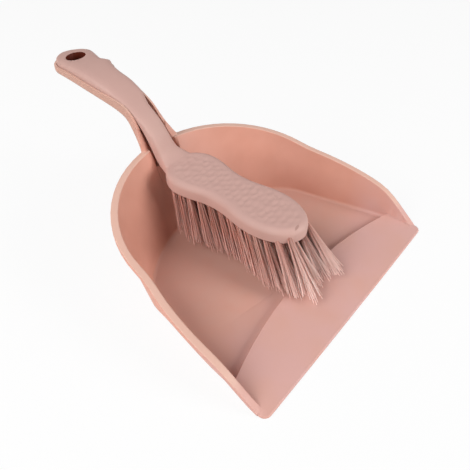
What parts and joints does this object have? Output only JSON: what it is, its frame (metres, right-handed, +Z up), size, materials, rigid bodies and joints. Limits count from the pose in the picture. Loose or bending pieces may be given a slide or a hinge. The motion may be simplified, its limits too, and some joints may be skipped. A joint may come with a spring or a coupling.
{
  "type": "dustpan and brush",
  "caption": "Hand dustpan with a raised back and a channelled handle that holds a brush with flared bristles and a hang hole; the brush lifts straight out.",
  "frame": {"origin": "middle of the pan's flat underside, on the pan's centre line", "axes": "+Y from the lip towards the handle end, +Z up from the pan's underside, +X to the right of someone looking along +Y"},
  "size_m": [0.225, 0.2971, 0.1133],
  "materials": {
    "pink_polypropylene": "satin moulded",
    "mauve_polypropylene": "satin moulded with a fine grain",
    "bristle_filament": "drawn filament"
  },
  "bodies": {
    "dustpan": {"dustpan": "pink_polypropylene"},
    "brush": {"brush_body": "mauve_polypropylene", "tuft_left_inner_01": "bristle_filament", "tuft_left_inner_02": "bristle_filament", "tuft_left_inner_03": "bristle_filament", "tuft_left_inner_04": "bristle_filament", "tuft_left_inner_05": "bristle_filament", "tuft_left_inner_06": "bristle_filament", "tuft_left_inner_07": "bristle_filament", "tuft_left_inner_08": "bristle_filament", "tuft_left_inner_09": "bristle_filament", "tuft_left_inner_10": "bristle_filament", "tuft_left_inner_11": "bristle_filament", "tuft_left_inner_12": "bristle_filament", "tuft_left_inner_13": "bristle_filament", "tuft_left_outer_01": "bristle_filament", "tuft_left_outer_02": "bristle_filament", "tuft_left_outer_03": "bristle_filament", "tuft_left_outer_04": "bristle_filament", "tuft_left_outer_05": "bristle_filament", "tuft_left_outer_06": "bristle_filament", "tuft_left_outer_07": "bristle_filament", "tuft_left_outer_08": "bristle_filament", "tuft_left_outer_09": "bristle_filament", "tuft_left_outer_10": "bristle_filament", "tuft_left_outer_11": "bristle_filament", "tuft_left_outer_12": "bristle_filament", "tuft_left_outer_13": "bristle_filament", "tuft_right_inner_01": "bristle_filament", "tuft_right_inner_02": "bristle_filament", "tuft_right_inner_03": "bristle_filament", "tuft_right_inner_04": "bristle_filament", "tuft_right_inner_05": "bristle_filament", "tuft_right_inner_06": "bristle_filament", "tuft_right_inner_07": "bristle_filament", "tuft_right_inner_08": "bristle_filament", "tuft_right_inner_09": "bristle_filament", "tuft_right_inner_10": "bristle_filament", "tuft_right_inner_11": "bristle_filament", "tuft_right_inner_12": "bristle_filament", "tuft_right_inner_13": "bristle_filament", "tuft_right_outer_01": "bristle_filament", "tuft_right_outer_02": "bristle_filament", "tuft_right_outer_03": "bristle_filament", "tuft_right_outer_04": "bristle_filament", "tuft_right_outer_05": "bristle_filament", "tuft_right_outer_06": "bristle_filament", "tuft_right_outer_07": "bristle_filament", "tuft_right_outer_08": "bristle_filament", "tuft_right_outer_09": "bristle_filament", "tuft_right_outer_10": "bristle_filament", "tuft_right_outer_11": "bristle_filament", "tuft_right_outer_12": "bristle_filament", "tuft_right_outer_13": "bristle_filament"}
  },
  "joints": [
    {"name": "brush_lift", "type": "slide", "parent": "dustpan", "child": "brush", "axis": [0, 0, 1], "range_m": [0, 0.15]}
  ]
}
